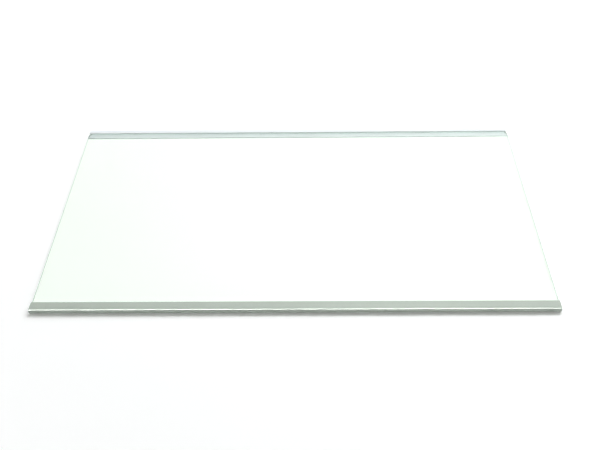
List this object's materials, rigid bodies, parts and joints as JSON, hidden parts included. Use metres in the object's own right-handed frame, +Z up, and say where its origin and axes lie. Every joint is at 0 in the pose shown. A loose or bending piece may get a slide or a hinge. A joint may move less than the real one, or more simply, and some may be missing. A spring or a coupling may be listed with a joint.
{
  "type": "refrigerator glass shelf",
  "caption": "Flat clear toughened glass refrigerator shelf with a rounded silver-grey trim channel along its front edge and a slimmer milky white channel along its rear edge.",
  "frame": {"origin": "under the middle of the shelf, on the plane that both trims rest on", "axes": "+X along the shelf's width, -Y towards the front trim's nose, +Z up"},
  "size_m": [0.52, 0.3, 0.007],
  "materials": {
    "clear_glass": "polished clear float glass with a faint green tint, ground round edges",
    "silver_trim": "satin silver-grey extruded plastic with fine metallic pigment",
    "milky_trim": "natural milky white extruded plastic, satin, lets a little light through"
  },
  "bodies": {
    "root": {"glass_panel": "clear_glass", "front_trim": "silver_trim", "rear_trim": "milky_trim"}
  },
  "joints": []
}
